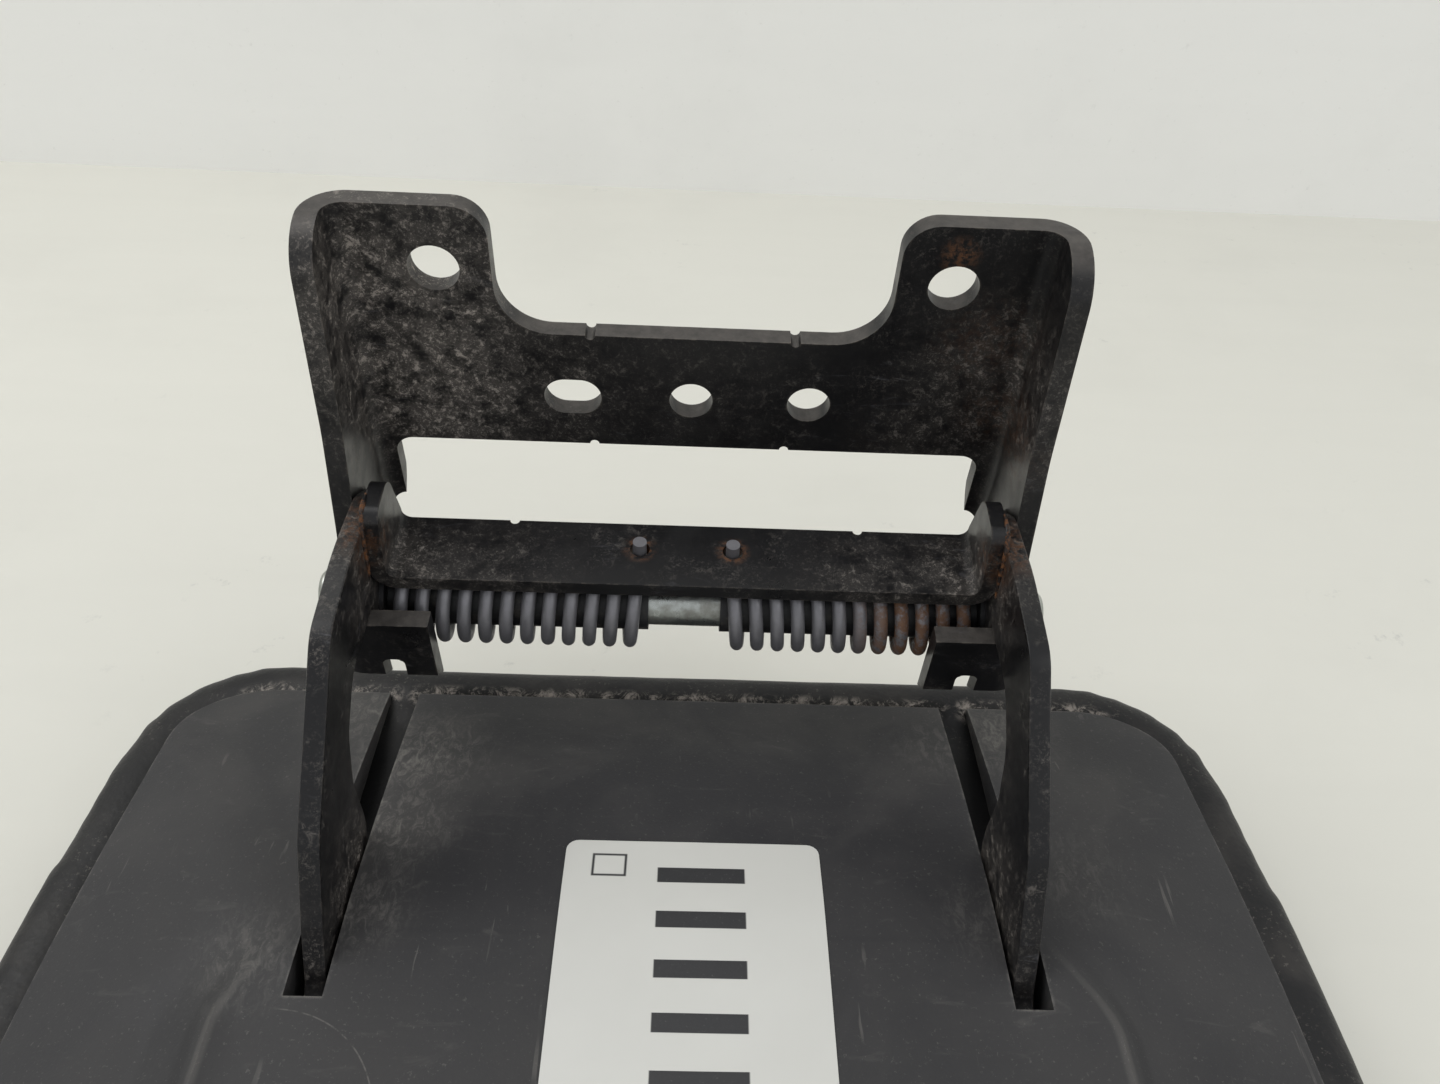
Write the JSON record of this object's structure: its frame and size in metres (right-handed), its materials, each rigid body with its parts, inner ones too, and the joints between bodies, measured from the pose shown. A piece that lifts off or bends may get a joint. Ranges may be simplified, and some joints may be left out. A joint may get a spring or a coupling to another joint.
{
  "type": "tip-up seat pad",
  "caption": "Sprung tip-up seat pad: padded board with a moulded back, carried by two arms that hinge on a folded steel mounting bracket.",
  "frame": {"origin": "centre of the middle bolt hole, on the front face of the bracket's web", "axes": "+X along the hinge, +Y from the pad's front to its hinge end, +Z out of the pad's back"},
  "size_m": [0.3192, 0.3449, 0.1884],
  "materials": {
    "black_paint": "semi-gloss, dusty",
    "zinc": "zinc plated",
    "spring_steel": "oiled, dark",
    "black_nylon": "matt",
    "shell_plastic": "fine grain",
    "plywood": "raw",
    "foam": "open cell",
    "vinyl": "grained, satin",
    "label_paper": "matt paper"
  },
  "bodies": {
    "bracket": {"mounting_bracket": "black_paint", "pivot_shaft": "zinc", "shaft_washers": "zinc", "shaft_retaining_rings": "spring_steel", "spring_sleeve_left": "black_nylon", "spring_sleeve_right": "black_nylon", "torsion_spring_left": "spring_steel", "torsion_spring_right": "spring_steel"},
    "seat": {"left_arm": "black_paint", "right_arm": "black_paint", "left_bush": "black_nylon", "right_bush": "black_nylon", "spring_bridge": "black_paint", "arm_tie_plate": "black_paint", "tie_plate_bolts": "zinc", "tee_nuts": "zinc", "back_shell": "shell_plastic", "shell_screws": "zinc", "seat_board": "plywood", "cushion_foam": "foam", "cushion_cover": "vinyl", "cover_staples": "zinc", "stock_label": "label_paper"}
  },
  "joints": [
    {"name": "seat_fold", "type": "hinge", "parent": "bracket", "child": "seat", "pos_m": [0, -0.02838, -0.04378], "axis": [-1, 0, 0], "range_deg": [0, 70], "stiffness_Nm_per_rad": 4.4, "springref_deg": -34.38, "deforming": ["torsion_spring_left", "torsion_spring_right"]}
  ]
}
